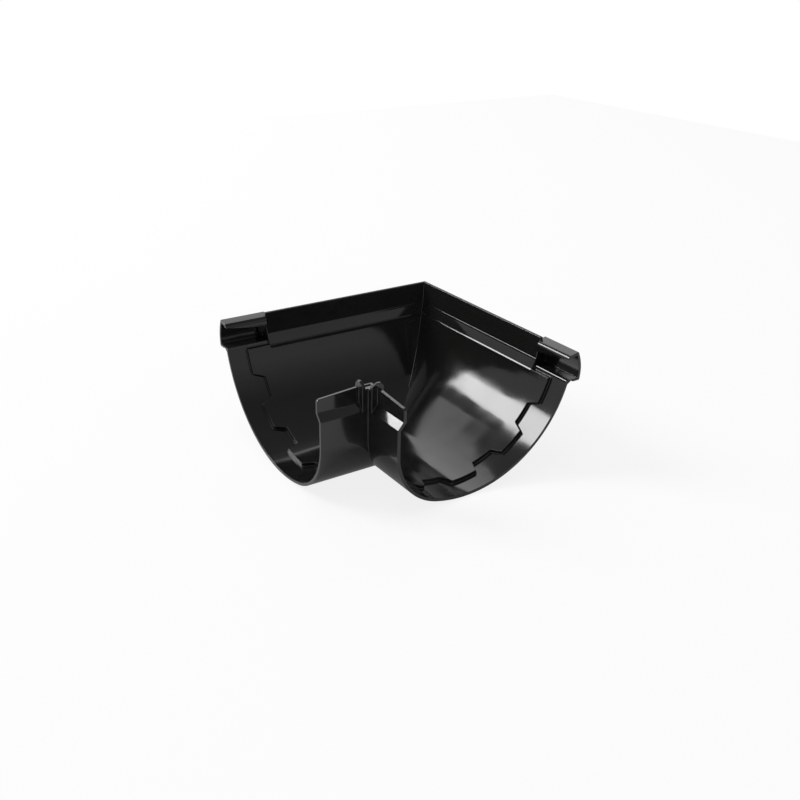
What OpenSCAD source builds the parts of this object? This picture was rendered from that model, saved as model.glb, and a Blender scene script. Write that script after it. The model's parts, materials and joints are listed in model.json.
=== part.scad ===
// External 90 degree corner for a deep half-round rainwater gutter, moulded in one piece.
// Two trough arms meet on a mitre. Each mouth has a stepped stop edge inside, a hooked bead socket
// along its front rim and a lip above its near wall, and takes the end of one gutter.
// Outlines are drawn as [across, up]: across is 0 on an arm's centre line and grows towards the
// front rim, up is 0 at the front rim.

/* [Trough] */
// Width outside, from the near wall to the front rim
gutter_w = 125; // [115:1:135]
// Depth outside, from the front rim down to the lowest line
trough_depth = 57.1; // [50:0.5:64]
// Radius of the long curve that runs under the trough and up to the front rim
front_r = 78.6; // [72:0.2:90]
// Radius of the tighter curve between the bottom and the near wall
back_r = 38.2; // [30:0.2:44]
// Thickness of the outer wall
wall = 2; // [1.6:0.1:2.6]
// Thickness of the inner skin, against whose edge the gutter stops
skin = 2.3; // [1.6:0.1:3]
// Length of an arm, from the crossing of the centre lines to its mouth
arm_l = 93.6; // [88:0.2:140]

/* [Near wall and lip] */
// Distance below the front rim at which the near wall starts to lean in
fold_drop = 0.8; // [0:0.1:6]
// Distance that the near wall leans in
lip_setback = 3.8; // [2:0.1:6]
// Height of the leaning stretch
lean_h = 4.6; // [3:0.1:8]
// Top of the lip above the front rim, at the mouth
lip_top = 11.8; // [9:0.1:16]
// Extra height of the lip at its corner end
lip_rise = 1.9; // [0:0.1:3]
// Size of the corner cut off the lip at the mouth
lip_cut = 1; // [0.4:0.1:2]

/* [Front wall] */
// Height of the front wall above the rim
front_h = 19.5; // [16:0.5:26]
// Distance that the front wall leans out over its height
front_lean = 3.1; // [1:0.1:5]
// Thickness of the front wall at its top
front_t = 2; // [1.6:0.1:2.6]
// Height of the crease on its inner face
crease_h = 5.6; // [3:0.1:8]
// Distance of that crease inside the rim
crease_in = 1.4; // [0.6:0.1:2]
// Distance below the rim at which the inner face runs into the skin
foot_drop = 1; // [0.5:0.1:3]

/* [Bead socket] */
// Length of a socket, from its mouth to the outside of its end wall
socket_l = 31.2; // [22:0.2:34]
// Thickness of the end wall
end_wall = 1; // [0.8:0.1:2.4]
// Distance by which the front wall's own end stands in front of the end wall
end_step = 1; // [0.6:0.1:3]
// Height of the socket's outer top corner above the rim
socket_h = 18.6; // [15:0.2:25]
// Distance of that corner outside the rim
socket_top_out = 6.7; // [5:0.1:9]
// Distance of the outer bottom corner outside the rim
socket_foot_out = 9.2; // [7:0.1:12]
// Radius to which the outer face bows between these corners
bow_r = 28.3; // [20:0.5:60]
// Thickness of the socket's outer wall, top and hanging lip
socket_t = 1.8; // [1.4:0.1:2.4]
// Height of the socket's floor above the rim
floor_h = 1.2; // [0.8:0.1:3]
// Distance by which the floor's underside hangs below the rim
sole_drop = 0.3; // [0.1:0.1:1]
// Height of the groove under the floor, beside the rim
groove_h = 0.6; // [0.2:0.1:0.8]
// Fall of the top from the outer corner to the fold above the trough
top_fall = 1.4; // [0.6:0.1:3]
// Radius of the bend from the top into the hanging lip
bend_r = 3; // [2:0.2:4]
// Distance of the hanging lip's face inside the rim
tongue_in = 1.6; // [0.8:0.1:2.2]
// Height of the hanging lip's lower edge above the rim at the end wall
tongue_low = 10.7; // [8:0.1:13]
// Height of the same edge at the mouth
tongue_high = 15; // [12:0.1:16]

/* [Stop edge] */
// Distance from the mouth to the tips of the stop's teeth
tip_depth = 13.2; // [8:0.2:18]
// Length of the notches between the teeth
notch_l = 7.9; // [4:0.1:12]
// Width of a notch at its bottom
notch_w = 14.4; // [8:0.2:18]
// Extra width of a notch at the tips
notch_flare = 6.5; // [0:0.5:10]
// Distance between notches, measured round the inside of the outer wall
notch_pitch = 39.8; // [30:0.2:50]
// Distance from the front rim's foot to the middle of the first notch
first_notch = 28.6; // [20:0.2:34]
// Number of notches
notch_count = 4; // [2:1:4]

/* [Corner post] */
// Length of the post along each near wall, from the corner
post_l = 3.8; // [3:0.1:6]
// Thickness of the stop web at each side of the post
web_t = 2; // [1.6:0.1:3]
// Height of the post above the rim
post_h = 13; // [10:0.1:16]
// Height of the webs' outer corners above the rim
web_low = 14.7; // [12:0.1:16]
// Height of the webs' tops above the rim
web_h = 17; // [15:0.1:20]
// Distance that the webs reach in from the near wall's outer face
web_reach = 8.2; // [6.5:0.1:11]

/* [Hidden] */
$fn = 180;
rim_u = gutter_w / 2;

// Centres of the two curves of the outside, and the direction in which they run into each other.
// They cross there, by this depth, because shapes that only touch leave slivers.
lap = 0.02;
front_c = [rim_u - sqrt(pow(front_r, 2) - pow(front_r - trough_depth, 2)), front_r - trough_depth];
back_u = back_r - rim_u;
back_c = [back_u, front_c[1] - sqrt(pow(front_r - back_r + lap, 2) - pow(back_u - front_c[0], 2))];
turn = atan2(back_c[1] - front_c[1], back_c[0] - front_c[0]);

// A length past every edge, for cutters and for stretches that the mitre trims, and the short
// length by which other cutters run past what they cut
span = 2 * front_r;
past = 1;

// Heights and places that several features share
near_u = -rim_u;
lip_u = near_u + lip_setback;
fold_z = -fold_drop;
lean_z = fold_z + lean_h;
bend_drop = wall * tan(atan2(lip_setback, lean_h) / 2);
near_z = fold_z - bend_drop;
socket_x = arm_l - socket_l;
pocket_x = socket_x + end_wall;
lining_x = pocket_x + end_step;
tip_x = arm_l - tip_depth;
notch_x = tip_x - notch_l;
tongue_u = rim_u - tongue_in;
web_x = rim_u + post_l;

// Across position at height z of the front curve, drawn in by inset
function front_u(inset, z) =
    front_c[0] + sqrt(pow(front_r - inset, 2) - pow(z - front_c[1], 2));

// Extrudes an [across, up] outline along the arm from x0 to x1
module along(x0, x1) {
    translate([x0, 0, 0]) rotate([90, 0, 90]) linear_extrude(x1 - x0) children();
}

// Extrudes an [along, up] outline across the arm from u0 to u1
module across(u0, u1) {
    translate([0, u1, 0]) rotate([90, 0, 0]) linear_extrude(u1 - u0) children();
}

// Everything inside the trough's outline, drawn in by inset, up to the front curve's centre
module trough_fill(inset) {
    aim = span * [cos(turn), sin(turn)];
    // Long front curve
    intersection() {
        translate(front_c) circle(front_r - inset);
        polygon([back_c + aim, back_c - aim, [span, span], [span, -span]]);
    }
    // Tight back curve, and the space above it
    translate(back_c) circle(back_r - inset);
    translate([near_u + inset, back_c[1]])
        square([front_c[0] - near_u - inset, front_c[1] - back_c[1]]);
}

// One notch of the stop edge, cut outwards from the space inside the skin of a curve. Facing is
// its direction, counted from across towards up.
module notch(centre, radius, facing) {
    root = notch_w / 2;
    flare = notch_flare / 2 / notch_l;
    tip = root + flare * notch_l;
    translate([0, centre[0], centre[1]]) rotate([facing - 90, 0, 0])
        translate([0, 0, radius - wall - 3 * skin]) linear_extrude(radius) polygon([
            [notch_x, -root],
            [tip_x + past, -tip - flare * past],
            [tip_x + past, tip + flare * past],
            [notch_x, root]
        ]);
}

// Direction and length of the front curve's inside, from the skin's front edge to the back curve
start_a = atan2(-foot_drop - front_c[1], front_u(wall, -foot_drop) - front_c[0]);
front_len = (start_a - turn) * PI / 180 * (front_r - wall);

// Notch whose middle lies s along the wall's inside from the skin's front edge
module notch_at(s) {
    if (s < front_len)
        notch(front_c, front_r, start_a - s / (front_r - wall) * 180 / PI);
    else
        notch(back_c, back_r, turn - (s - front_len) / (back_r - wall) * 180 / PI);
}

// Crease and top of the front wall's inner face
crease = [rim_u - crease_in, crease_h];
front_top = [rim_u + front_lean - front_t, front_h];

// Space beside the front wall, down to the skin. It runs a little past the wall's top, and into
// the space inside the skin.
module front_space() {
    low = [front_u(wall + skin, -foot_drop), -foot_drop];
    below = low + (low - crease) * past / norm(low - crease);
    above = front_top + (front_top - crease) * past / norm(front_top - crease);
    polygon([[0, below[1]], below, crease, above, [0, above[1]]]);
}

// Trough with its inner skin, whose end is the stepped stop edge, and the front wall, which leans
// out above the rim
module trough() {
    difference() {
        along(-span, arm_l) intersection() {
            union() {
                trough_fill(0);
                translate([0, crease_h / 2]) square(span);
            }
            polygon([
                [-span, -span],
                [rim_u - span * front_lean / front_h, -span],
                [rim_u + front_lean, front_h],
                [0, front_h],
                [0, near_z],
                [-span, near_z]
            ]);
        }
        along(-span - past, arm_l + past) {
            trough_fill(wall + skin);
            front_space();
        }
        // In the sockets the wall is low and the skin's edge a ledge
        along(lining_x, arm_l + past) {
            translate([0, floor_h]) square(span);
            intersection() {
                trough_fill(wall);
                translate([0, -foot_drop]) square(span);
            }
        }
        along(tip_x, arm_l + past) trough_fill(wall);
        intersection() {
            along(notch_x, tip_x + past) trough_fill(wall);
            union() for (i = [0 : notch_count - 1]) notch_at(first_notch + i * notch_pitch);
        }
    }
}

// Near wall's top: it leans in and ends in an upright lip, which is lower at the mouth
module near_lip() {
    high = lip_top + lip_rise;
    difference() {
        along(0, arm_l) polygon([
            [near_u, near_z],
            [near_u, fold_z],
            [lip_u, lean_z],
            [lip_u, high],
            [lip_u + wall, high],
            [lip_u + wall, lean_z - bend_drop],
            [near_u + wall, near_z]
        ]);
        across(near_u - past, lip_u + wall + past) polygon([
            [web_x, high],
            [arm_l - lip_cut, lip_top],
            [arm_l + past, lip_top - lip_cut - past],
            [arm_l + past, high + past],
            [web_x, high + past]
        ]);
    }
}

// Corners of the socket's outer face, the centre of its bow and the fold above the trough
foot = [rim_u + socket_foot_out, 0];
crown = [rim_u + socket_top_out, socket_h];
chord = crown - foot;
bow_c = (foot + crown) / 2
    + sqrt(pow(bow_r, 2) - pow(norm(chord) / 2, 2)) * [-chord[1], chord[0]] / norm(chord);
fold = [tongue_u + socket_t, socket_h - top_fall];
bow_u = bow_c[1] > 0 && bow_c[1] < socket_h ? bow_c[0] + bow_r : max(foot[0], crown[0]);

// Inner side of the pocket: level with the front wall's inner face at the fold, which roots the
// hanging lip in the wall's end
pocket_u = crease[0] + (front_top[0] - crease[0]) * (fold[1] - crease_h) / (front_h - crease_h);

// Bend into the hanging lip: its centre, and its points from the top round to the lip's face
top_a = atan2(crown[1] - fold[1], crown[0] - fold[0]);
bend_u = tongue_u + bend_r;
bend_c = [bend_u, fold[1] + tan(top_a) * (bend_u - fold[0]) - bend_r / cos(top_a)];
bend_steps = 6;
bend = [for (i = [0 : bend_steps]) let (a = 90 + top_a + (90 - top_a) * i / bend_steps)
    bend_c + bend_r * [cos(a), sin(a)]];

// Outline of the socket, without its pocket. Its sole and its top run past the bow, which cuts
// them at the corners, and its inner end is inside the trough's wall.
module socket_outline() {
    intersection() {
        translate(bow_c) circle(bow_r);
        polygon(concat([
            [front_u(wall / 2, floor_h), floor_h],
            [rim_u - wall / 2, -wall],
            [rim_u + 2 * groove_h, groove_h],
            [rim_u + 4 * groove_h, groove_h],
            [rim_u + 6 * groove_h, -sole_drop],
            [foot[0] - 2 * sole_drop, -sole_drop],
            [foot[0] + bow_r, bow_r / 2],
            crown + (crown - fold) * bow_r / norm(crown - fold)
        ], bend, [[tongue_u, floor_h]]));
    }
}

// Space in the socket for a gutter's front bead
module pocket_outline() {
    intersection() {
        translate(bow_c) circle(bow_r - socket_t);
        translate([pocket_u, floor_h]) square(span);
        polygon([
            [fold[0], 0],
            [foot[0] + bow_r, 0],
            [foot[0] + bow_r, crown[1] - socket_t],
            crown - [0, socket_t],
            fold - [0, socket_t]
        ]);
    }
}

// Hooked socket with a lip that hangs above the trough, over a slot that widens to the mouth
module bead_socket() {
    difference() {
        union() {
            along(lining_x, arm_l) socket_outline();
            // Beside the front wall it starts inside the wall
            along(socket_x, lining_x) intersection() {
                socket_outline();
                polygon([
                    [rim_u - wall / 2, -foot_drop],
                    [span, -foot_drop],
                    [span, front_h],
                    front_top + [front_t / 2, 0]
                ]);
            }
        }
        along(pocket_x, arm_l + past) pocket_outline();
        across(0, pocket_u + past) polygon([
            [pocket_x, floor_h],
            [arm_l + past, floor_h],
            [arm_l + past, tongue_high],
            [arm_l, tongue_high],
            [lining_x, tongue_low],
            [pocket_x, tongue_low]
        ]);
    }
}

// Half of the corner post, flush with the near wall, and the web that stops a gutter's near lip
module corner_post() {
    along(0, web_x) polygon([
        [near_u, near_z], [near_u, post_h], [lip_u + wall / 2, post_h], [lip_u + wall / 2, near_z]
    ]);
    inner_u = near_u + web_reach;
    along(web_x - web_t, web_x) polygon([
        [near_u, near_z],
        [near_u, web_low],
        [lip_u, web_h],
        [inner_u - wall, web_h],
        [inner_u, web_low],
        [inner_u, lean_z],
        [near_u + wall, near_z - wall]
    ]);
}

module arm() {
    intersection() {
        union() {
            trough();
            near_lip();
            bead_socket();
            corner_post();
        }
        // Trims the arm to the mitre
        translate([0, 0, -span]) linear_extrude(2 * span)
            polygon([[-span, span], [span, -span], [span, span]]);
    }
}

// Both arms, moved so that the origin is below the middle of the whole and level with its lowest
// line. The second arm is the first one's mirror image in the mitre.
module gutter_angle() {
    middle = (arm_l - bow_u) / 2;
    color([0.05, 0.05, 0.055]) translate([-middle, middle, trough_depth]) {
        arm();
        mirror([1, 1, 0]) arm();
    }
}

gutter_angle();
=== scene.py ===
import json
import math
import bmesh
import bpy
import numpy as np
from mathutils import Matrix

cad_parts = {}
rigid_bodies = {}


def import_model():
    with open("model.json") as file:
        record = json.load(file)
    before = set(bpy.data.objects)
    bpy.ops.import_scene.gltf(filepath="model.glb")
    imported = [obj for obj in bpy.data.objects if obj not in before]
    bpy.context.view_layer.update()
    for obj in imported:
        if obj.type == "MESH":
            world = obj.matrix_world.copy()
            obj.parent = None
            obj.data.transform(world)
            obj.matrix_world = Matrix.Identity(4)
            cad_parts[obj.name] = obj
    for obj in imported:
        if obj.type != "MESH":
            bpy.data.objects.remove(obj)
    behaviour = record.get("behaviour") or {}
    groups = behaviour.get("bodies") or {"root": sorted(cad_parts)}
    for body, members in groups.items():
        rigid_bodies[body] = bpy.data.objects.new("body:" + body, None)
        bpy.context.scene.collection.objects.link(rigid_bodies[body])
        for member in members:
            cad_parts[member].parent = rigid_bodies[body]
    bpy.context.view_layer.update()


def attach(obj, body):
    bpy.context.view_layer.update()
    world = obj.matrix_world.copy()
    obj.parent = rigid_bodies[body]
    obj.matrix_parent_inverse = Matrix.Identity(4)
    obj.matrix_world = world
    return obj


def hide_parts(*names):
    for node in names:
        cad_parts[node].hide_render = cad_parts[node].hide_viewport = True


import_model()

mm = 0.001
scene = bpy.context.scene
scene.view_settings.view_transform = "Standard"


def addObject(name, data):
    item = bpy.data.objects.new(name, data)
    scene.collection.objects.link(item)
    return item


def roundEdges(piece, radius, segments):
    # Each edge becomes an arc of radius times its bevel weight, and large faces keep level shading
    bevel = piece.modifiers.new("edge radius", "BEVEL")
    bevel.width = radius
    bevel.segments = segments
    bevel.limit_method = "WEIGHT"
    bevel.use_clamp_overlap = False
    piece.modifiers.new("level faces", "WEIGHTED_NORMAL")


# Moulded corner: the CAD solid with the small edge radii that a mould leaves

moulding = {
    "node": "gutter_angle",
    "body": "root",
    "slot": "black_plastic",
    "mergeGap": 0.002 * mm,    # joins the CAD facets' corners
    "flatAngle": 0.05,         # degrees, facets this level become one face
    "weldGap": 0.15 * mm,      # shorter edges than this are closed up
    "sharpAngle": 15,          # degrees, sharper edges are rounded
    "edgeRadius": 0.35 * mm,
    "shareOfEdge": 0.45,       # of a neighbouring edge, which a radius may take up
    "runOnAngle": 158,         # degrees, edges that meet flatter than this are one line
    "edgeSegments": 3,
}


def fittingRadius(edge, values):
    # edgeRadius, or less where shareOfEdge of a neighbouring edge's reach, square to this edge, is less
    radius = values["edgeRadius"]
    for end in edge.verts:
        along = (edge.other_vert(end).co - end.co).normalized()
        for side in end.link_edges:
            shared = set(side.link_faces) & set(edge.link_faces)
            run = (side.other_vert(end).co - end.co).normalized()
            if side is edge or not shared or along.angle(run) > math.radians(values["runOnAngle"]):
                continue
            radius = min(radius, values["shareOfEdge"] * side.calc_length() * along.cross(run).length)
    return radius


def roundedMoulding(values):
    # A merged copy of the CAD facets, whose sharp edges are weighted by the radius that fits there
    source = bpy.data.objects[values["node"]]
    shell = bmesh.new()
    shell.from_mesh(source.data)
    bmesh.ops.remove_doubles(shell, verts=shell.verts, dist=values["mergeGap"])
    bmesh.ops.dissolve_degenerate(shell, edges=shell.edges, dist=values["mergeGap"])
    bmesh.ops.dissolve_limit(shell, angle_limit=math.radians(values["flatAngle"]),
                             verts=shell.verts, edges=shell.edges)
    bmesh.ops.remove_doubles(shell, verts=shell.verts, dist=values["weldGap"])
    weight = shell.edges.layers.float.new("bevel_weight_edge")
    for edge in shell.edges:
        if edge.calc_face_angle(0) > math.radians(values["sharpAngle"]):
            edge[weight] = fittingRadius(edge, values) / values["edgeRadius"]
    mesh = bpy.data.meshes.new("mouldedCorner")
    shell.to_mesh(mesh)
    shell.free()
    mesh.shade_smooth()
    piece = addObject("moulded_corner", mesh)
    roundEdges(piece, values["edgeRadius"], values["edgeSegments"])
    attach(piece, values["body"])
    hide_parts(values["node"])
    return piece


corner = roundedMoulding(moulding)
print("moulded corner:", len(corner.data.vertices), "vertices before rounding")


# Mould lines: fine slanted steps where the trough ends, at the crease and on the sill of each socket

mouldLines = {
    "rim": 73.165 * mm,        # from the middle of the part to the front rim
    "rimHeight": 57.1 * mm,
    "socket": 53.7 * mm,       # from the middle to where the sockets begin, along each arm
    "end": 82.9 * mm,          # and to where the arms end
    "slant": 40,               # degrees, how far each step's face leans back
    "edgeRadius": 0.1 * mm,
    "edgeSegments": 2,
    # inside and above place the step from the rim, face is its width, top and foot are its reach up
    # and down the wall, and the wall leans by leanBelow and leanAbove degrees there
    "lines": {
        "rim_line": {"sill": False, "inside": 4.8 * mm, "above": -1 * mm, "face": 1 * mm,
                     "top": 0.35 * mm, "foot": 2.5 * mm, "leanBelow": 18.7, "leanAbove": 27.2},
        "crease_line": {"sill": False, "inside": 1.41 * mm, "above": 5.6 * mm, "face": 0.35 * mm,
                        "top": 0.25 * mm, "foot": 1 * mm, "leanBelow": 27.2, "leanAbove": 10.2},
        "sill_line": {"sill": True, "inside": 1.75 * mm, "above": 1.2 * mm, "face": 0.65 * mm,
                      "top": 0.3 * mm, "foot": 1.2 * mm, "leanBelow": 16.2, "leanAbove": 27.2},
    },
}


def stepProfile(line, slant):
    # Foot and top lie on the wall, the nose is one face width from the top, and the rest is in the wall
    below, above = (math.tan(math.radians(line[lean])) for lean in ("leanBelow", "leanAbove"))
    top = line["top"] * np.array([above, 1])
    nose = top - line["face"] * np.array([math.sin(slant), math.cos(slant)])
    foot = -line["foot"] * np.array([below, 1])
    inward = np.array([line["face"], 0])
    return np.array([foot, nose, top, top + inward, foot + 2 * inward])


def carried(places, height):
    # The closed profile at each place, joined by quads from place to place, with a cap at both ends
    points = np.concatenate([np.stack([x, y, height], axis=1) for x, y in places])
    ring = np.arange(len(points)).reshape(len(places), len(height))
    beside = np.roll(ring, -1, axis=1)
    sides = np.stack([ring[:-1], beside[:-1], beside[1:], ring[1:]], axis=-1).reshape(-1, 4)
    return points, sides.tolist() + [ring[0, ::-1].tolist(), ring[-1].tolist()]


def mouldLine(name, line, values):
    # The profile's distance from the middle is y on one arm and -x on the other, and both at the mitre.
    # A sill runs along each socket, and the other lines run round the corner between the sockets.
    profile = stepProfile(line, math.radians(values["slant"]))
    out = values["rim"] - line["inside"] + profile[:, 0]
    height = values["rimHeight"] + line["above"] + profile[:, 1]
    start, end = np.full_like(out, values["socket"]), np.full_like(out, values["end"])
    if line["sill"]:
        runs = [[(end, out), (start, out)], [(-out, -start), (-out, -end)]]
    else:
        runs = [[(start, out), (-out, out), (-out, -start)]]
    points, faces = np.empty((0, 3)), []
    for run in runs:
        runPoints, runFaces = carried(run, height)
        faces += [[index + len(points) for index in face] for face in runFaces]
        points = np.concatenate([points, runPoints])
    mesh = bpy.data.meshes.new(name)
    mesh.from_pydata(points, [], faces)
    weight = mesh.attributes.new("bevel_weight_edge", "FLOAT", "EDGE")
    weight.data.foreach_set("value", np.ones(len(mesh.edges), dtype=np.float32))
    mesh.shade_smooth()
    piece = addObject(name, mesh)
    roundEdges(piece, values["edgeRadius"], values["edgeSegments"])
    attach(piece, moulding["body"])
    return piece


steps = [mouldLine(name, line, mouldLines) for name, line in mouldLines["lines"].items()]
print("mould lines:", len(steps))


# Finish: glossy black plastic

blackPlastic = {
    "colour": (0.007, 0.007, 0.0066, 1),
    "ior": 1.5,
    "glossiest": 0.07,         # roughness, which drifts between these two
    "dullest": 0.13,
    "driftRange": (0.3, 0.7),  # of the noise, spread over the two roughnesses
    "driftScale": 55,          # waves per metre
    "rippleScale": 38,         # waves per metre, the cooling ripple of a moulded wall
    "rippleDepth": 0.14 * mm,
    "grainScale": 1400,        # waves per metre, the fine skin of the mould
    "grainDepth": 0.0012 * mm,
    "noiseDetail": 1,
}


def openNodes(item):
    item.use_nodes = True
    return item.node_tree.nodes, item.node_tree.links


def glossPlastic(values):
    # Roughness follows a noise, and the surface has a shallow ripple with a fine grain on top
    material = bpy.data.materials.new("glossBlackPlastic")
    nodes, links = openNodes(material)
    shader = nodes["Principled BSDF"]
    shader.inputs["Base Color"].default_value = values["colour"]
    shader.inputs["IOR"].default_value = values["ior"]
    place = nodes.new("ShaderNodeTexCoord")

    def waves(scale):
        noise = nodes.new("ShaderNodeTexNoise")
        noise.inputs["Scale"].default_value = scale
        noise.inputs["Detail"].default_value = values["noiseDetail"]
        links.new(place.outputs["Object"], noise.inputs["Vector"])
        return noise.outputs["Fac"]

    def relief(height, depth, under=None):
        bump = nodes.new("ShaderNodeBump")
        bump.inputs["Distance"].default_value = depth
        links.new(height, bump.inputs["Height"])
        if under:
            links.new(under, bump.inputs["Normal"])
        return bump.outputs["Normal"]

    drift = nodes.new("ShaderNodeMapRange")
    drift.inputs["From Min"].default_value, drift.inputs["From Max"].default_value = values["driftRange"]
    drift.inputs["To Min"].default_value = values["glossiest"]
    drift.inputs["To Max"].default_value = values["dullest"]
    links.new(waves(values["driftScale"]), drift.inputs["Value"])
    links.new(drift.outputs["Result"], shader.inputs["Roughness"])
    ripple = relief(waves(values["rippleScale"]), values["rippleDepth"])
    skin = relief(waves(values["grainScale"]), values["grainDepth"], ripple)
    links.new(skin, shader.inputs["Normal"])
    return material


finish = glossPlastic(blackPlastic)
pieces = [corner] + steps
for piece in pieces:
    piece.data.materials.clear()
    piece.data.materials.append(finish)
print("finish:", finish.name, "on", len(pieces), "pieces")


# White background: the share of plain white in what a ray meets, for the floor and the room alike

def whiteShare(nodes, links, values):
    # whiteForCamera for a camera ray, and whiteInGloss for a ray that was mirrored or let through
    path = nodes.new("ShaderNodeLightPath")
    mirrored, inGloss, share = (nodes.new("ShaderNodeMath") for _ in range(3))
    mirrored.operation, inGloss.operation, share.operation = "ADD", "MULTIPLY", "MULTIPLY_ADD"
    links.new(path.outputs["Is Glossy Ray"], mirrored.inputs[0])
    links.new(path.outputs["Is Transmission Ray"], mirrored.inputs[1])
    links.new(mirrored.outputs[0], inGloss.inputs[0])
    inGloss.inputs[1].default_value = values["whiteInGloss"]
    links.new(path.outputs["Is Camera Ray"], share.inputs[0])
    share.inputs[1].default_value = values["whiteForCamera"]
    links.new(inGloss.outputs[0], share.inputs[2])
    return share.outputs[0]


def flatSheet(name, corners):
    mesh = bpy.data.meshes.new(name)
    mesh.from_pydata(corners, [], [(0, 1, 2, 3)])
    return addObject(name, mesh)


# Floor: matt white, which keeps a light shadow under its share of plain white

floorPlan = {
    "size": 2.4,               # metres
    "colour": (0.92, 0.92, 0.92, 1),
    "whiteForCamera": 0.84,
    "whiteInGloss": 0.15,
}


def whiteFloor(values):
    half = values["size"] / 2
    floor = flatSheet("floor", [(-half, -half, 0), (half, -half, 0), (half, half, 0), (-half, half, 0)])
    material = bpy.data.materials.new("whiteFloor")
    nodes, links = openNodes(material)
    nodes.remove(nodes["Principled BSDF"])
    matt = nodes.new("ShaderNodeBsdfDiffuse")
    matt.inputs["Color"].default_value = values["colour"]
    white = nodes.new("ShaderNodeEmission")
    mixed = nodes.new("ShaderNodeMixShader")
    links.new(whiteShare(nodes, links, values), mixed.inputs[0])
    links.new(matt.outputs[0], mixed.inputs[1])
    links.new(white.outputs[0], mixed.inputs[2])
    links.new(mixed.outputs[0], nodes["Material Output"].inputs["Surface"])
    floor.data.materials.append(material)


# Room: pale low down and dim overhead, as the plastic shows it, and white behind for the camera

room = {
    "low": 0.556,              # brightness up to lowHeight
    "high": 0.133,             # brightness from highHeight
    "lowHeight": 24,           # degrees above the floor
    "highHeight": 55,
    "whiteForCamera": 1,
    "whiteInGloss": 0.1,
}


def softWorld(values):
    # Brightness runs evenly from low to high with the sine of the height, and is then mixed with white
    world = bpy.data.worlds.new("room")
    scene.world = world
    nodes, links = openNodes(world)
    direction = nodes.new("ShaderNodeTexCoord")
    split = nodes.new("ShaderNodeSeparateXYZ")
    links.new(direction.outputs["Generated"], split.inputs[0])
    level = nodes.new("ShaderNodeMapRange")
    level.inputs["From Min"].default_value = math.sin(math.radians(values["lowHeight"]))
    level.inputs["From Max"].default_value = math.sin(math.radians(values["highHeight"]))
    level.inputs["To Min"].default_value = values["low"]
    level.inputs["To Max"].default_value = values["high"]
    links.new(split.outputs["Z"], level.inputs["Value"])
    seen = nodes.new("ShaderNodeMix")
    seen.data_type = "FLOAT"
    seen.inputs["B"].default_value = 1
    links.new(whiteShare(nodes, links, values), seen.inputs["Factor"])
    links.new(level.outputs["Result"], seen.inputs["A"])
    links.new(seen.outputs["Result"], nodes["Background"].inputs["Strength"])
    nodes["Background"].inputs["Color"].default_value = (1, 1, 1, 1)


# Dark flag: a low black card beyond the table's right side, seen in the gloss only

flag = {
    "bearing": 28,             # degrees, turned from +X towards +Y
    "distance": 0.55,          # metres, as the sizes are
    "width": 0.6,
    "height": 0.125,
    "colour": (0.02, 0.02, 0.02, 1),
    "roughness": 1,
}


def darkFlag(values):
    bearing = math.radians(values["bearing"])
    across = values["width"] / 2 * np.array([-math.sin(bearing), math.cos(bearing), 0])
    foot = values["distance"] * np.array([math.cos(bearing), math.sin(bearing), 0])
    rise = np.array([0, 0, values["height"]])
    card = flatSheet("darkFlag", [foot - across, foot + across, foot + across + rise, foot - across + rise])
    card.visible_camera = card.visible_diffuse = card.visible_shadow = False
    material = bpy.data.materials.new("flagBlack")
    nodes, links = openNodes(material)
    nodes["Principled BSDF"].inputs["Base Color"].default_value = values["colour"]
    nodes["Principled BSDF"].inputs["Roughness"].default_value = values["roughness"]
    card.data.materials.append(material)


# Soft boxes: each hangs in a direction from the aim and faces it

softBoxes = {
    "aim": (0, 0, 30 * mm),
    "distance": 4,             # metres
    # bearing is turned from +X towards +Y, tilt is above the floor, width and height are as seen from
    # the aim, all in degrees, and a brightness of 1 looks white
    "boxes": {
        "keyBox": {"bearing": 223, "tilt": 37, "width": 22, "height": 24, "brightness": 13},
        "lipBox": {"bearing": 214.5, "tilt": 22.5, "width": 7, "height": 5, "brightness": 15},
        "backCard": {"bearing": 169, "tilt": 36.5, "width": 46, "height": 21, "brightness": 1.4},
        "topBox": {"bearing": 235, "tilt": 84, "width": 34, "height": 34, "brightness": 1.5},
    },
}


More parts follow.
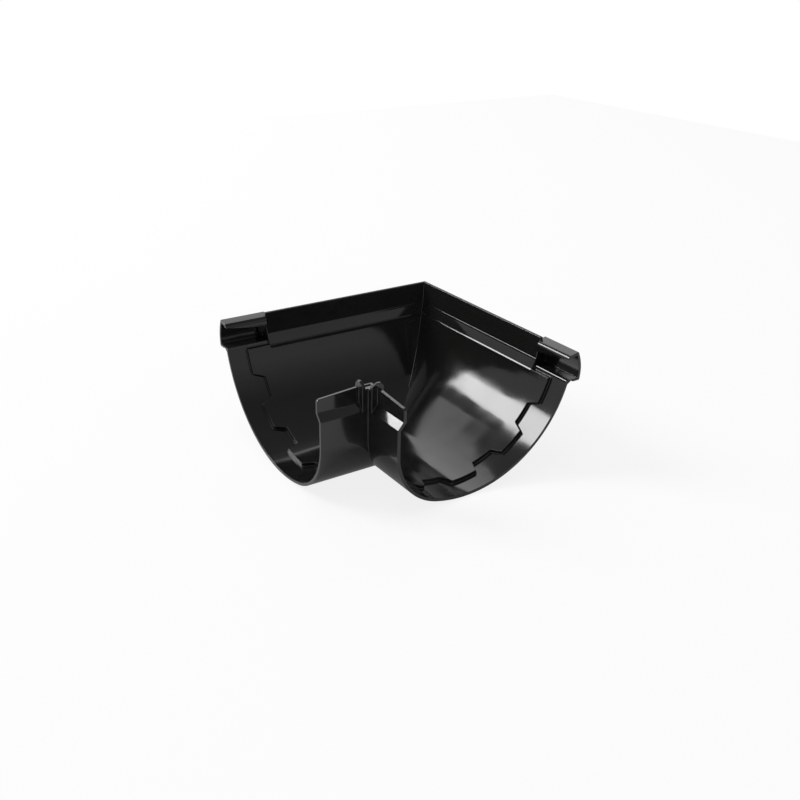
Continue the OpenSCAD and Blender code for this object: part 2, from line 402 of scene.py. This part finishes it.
def standAt(item, right, up, back, place):
    item.matrix_world = Matrix([[right[i], up[i], back[i], place[i]] for i in range(3)] + [[0, 0, 0, 1]])


def softBox(name, box, values):
    # A side is twice the distance times the tangent of half its angle, and the power in watts is pi
    # times the brightness times the area
    bearing, tilt = math.radians(box["bearing"]), math.radians(box["tilt"])
    back = np.array([
        math.cos(bearing) * math.cos(tilt), math.sin(bearing) * math.cos(tilt), math.sin(tilt)])
    right = np.array([-math.sin(bearing), math.cos(bearing), 0])
    light = bpy.data.lights.new(name, "AREA")
    light.shape = "RECTANGLE"
    light.size = 2 * values["distance"] * math.tan(math.radians(box["width"] / 2))
    light.size_y = 2 * values["distance"] * math.tan(math.radians(box["height"] / 2))
    light.energy = math.pi * box["brightness"] * light.size * light.size_y
    lamp = addObject(name, light)
    lamp.visible_camera = False
    standAt(lamp, right, np.cross(back, right), back, np.array(values["aim"]) + values["distance"] * back)


whiteFloor(floorPlan)
softWorld(room)
darkFlag(flag)
for name, box in softBoxes["boxes"].items():
    softBox(name, box, softBoxes)
print("studio: floor, room, dark flag and", len(softBoxes["boxes"]), "soft boxes")


# Camera: where the photograph was taken from

viewpoint = {
    "place": (0.485106, -0.322356, 0.301180),
    "azimuth": 55.99,          # degrees, 0 looks along +Y
    "elevation": 24.97,
    "roll": 1.14,
    "lens": 44.47,             # millimetres, as the sensor is
    "sensor": 36,
}


def photoCamera(values):
    azimuth, elevation, roll = (math.radians(values[k]) for k in ("azimuth", "elevation", "roll"))
    back = np.array([
        math.sin(azimuth) * math.cos(elevation), -math.cos(azimuth) * math.cos(elevation),
        math.sin(elevation)])
    level = np.array([math.cos(azimuth), math.sin(azimuth), 0])
    upright = np.cross(back, level)
    right = math.cos(roll) * level + math.sin(roll) * upright
    up = math.cos(roll) * upright - math.sin(roll) * level
    data = bpy.data.cameras.new("camera")
    data.sensor_width = values["sensor"]
    data.lens = values["lens"]
    camera = addObject("camera", data)
    standAt(camera, right, up, back, values["place"])
    scene.camera = camera


photoCamera(viewpoint)
print("camera:", scene.camera.name)
